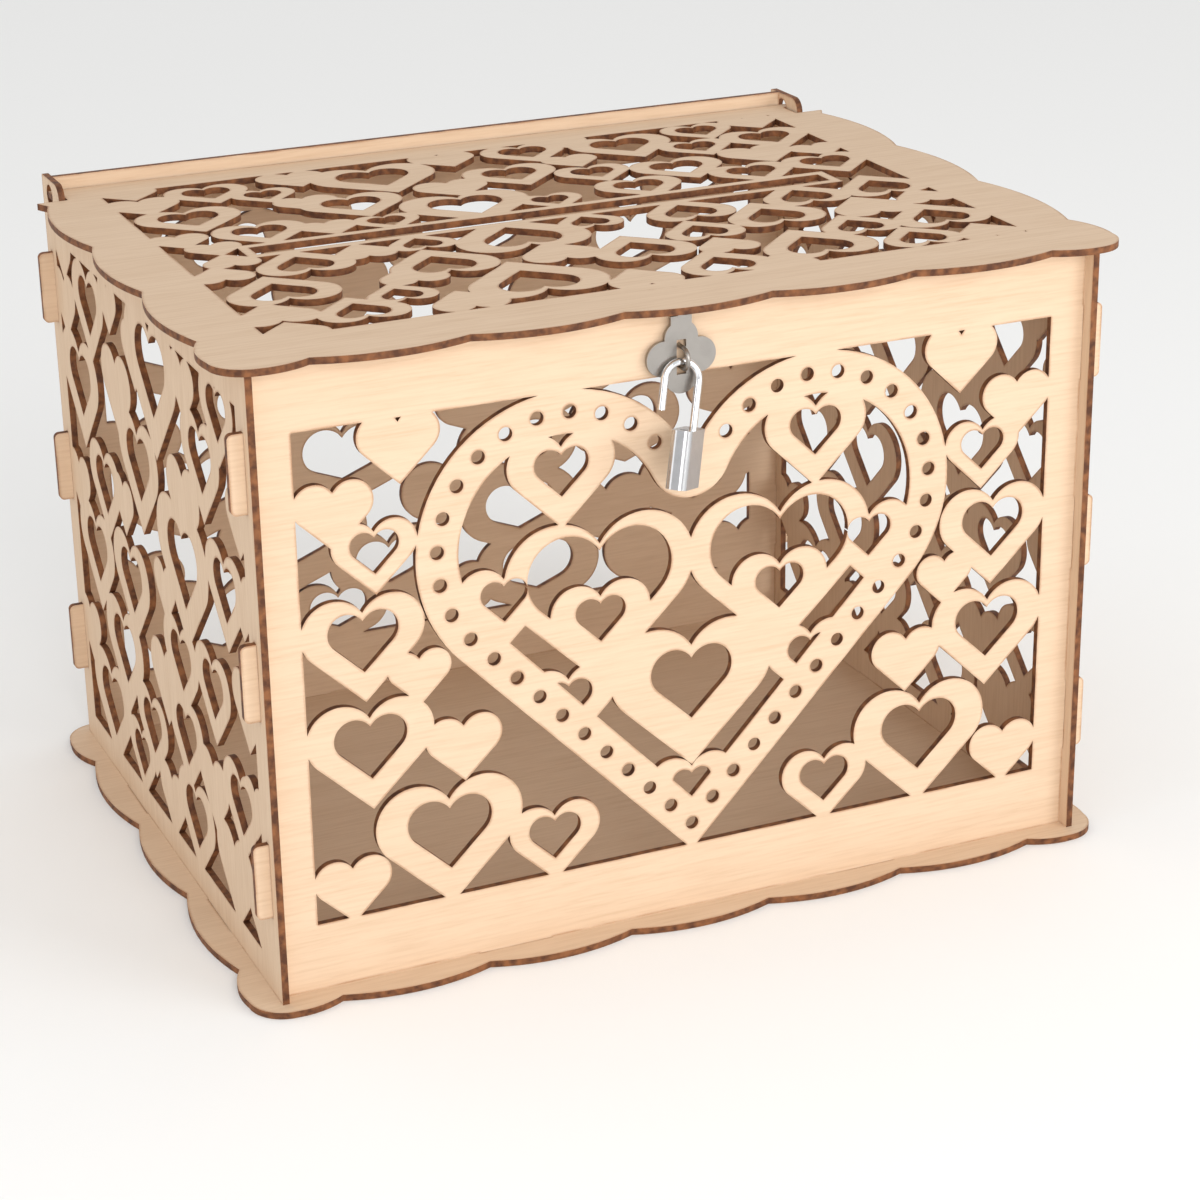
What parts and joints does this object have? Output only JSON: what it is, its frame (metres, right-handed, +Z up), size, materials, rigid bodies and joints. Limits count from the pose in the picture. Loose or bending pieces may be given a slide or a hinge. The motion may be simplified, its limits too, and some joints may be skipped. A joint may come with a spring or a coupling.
{
  "type": "wedding card box",
  "caption": "Laser-cut plywood card box with heart fretwork walls, a slotted lid that turns on its own tongues, a hasp and a small open padlock",
  "frame": {"origin": "middle of the base plate's underside", "axes": "+Z up, -Y towards the front with the hasp, +X to the right seen from the front"},
  "size_m": [0.3046, 0.2501, 0.214],
  "materials": {
    "plywood": "unfinished laser-cut plywood, cream faces and burnt brown edges",
    "nickel": "satin nickel plate",
    "chrome": "polished chrome",
    "lock_case": "plated, polished sides and grainy faces",
    "plug_brass": "plain brass"
  },
  "bodies": {
    "box": {"base_plate": "plywood", "front_panel": "plywood", "back_panel": "plywood", "left_side_panel": "plywood", "right_side_panel": "plywood", "staple": "nickel"},
    "lid": {"lid_panel": "plywood", "hasp_plate": "nickel", "hasp_screws": "nickel", "hasp_pin": "nickel"},
    "hasp": {"hasp_leaf": "nickel"},
    "shackle": {"padlock_shackle": "chrome"},
    "padlock": {"padlock_case": "lock_case"},
    "key_plug": {"padlock_plug": "plug_brass"}
  },
  "joints": [
    {"name": "lid_hinge", "type": "hinge", "parent": "box", "child": "lid", "pos_m": [0, 0.1037, 0.2083], "axis": [-1, 0, 0], "range_deg": [0, 100]},
    {"name": "hasp_hinge", "type": "hinge", "parent": "lid", "child": "hasp", "pos_m": [-0.004, -0.1099, 0.20585], "axis": [-1, 0, 0], "range_deg": [-85, 0]},
    {"name": "padlock_swing", "type": "hinge", "parent": "box", "child": "shackle", "pos_m": [-0.00519, -0.11292, 0.18481], "axis": [0, 0.9848, -0.1736], "range_deg": [-12, 12]},
    {"name": "padlock_turn", "type": "hinge", "parent": "shackle", "child": "padlock", "pos_m": [0.00039, -0.11312, 0.18364], "axis": [0.2079, 0.1699, 0.9633], "range_deg": [-40, 60]},
    {"name": "key_turn", "type": "hinge", "parent": "padlock", "child": "key_plug", "pos_m": [-0.00319, -0.11729, 0.18515], "axis": [0.2079, 0.1699, 0.9633], "range_deg": [0, 90]}
  ],
  "couplings": [
    {"joint": "hasp_hinge", "follows": "lid_hinge", "ratio": -0.85}
  ]
}
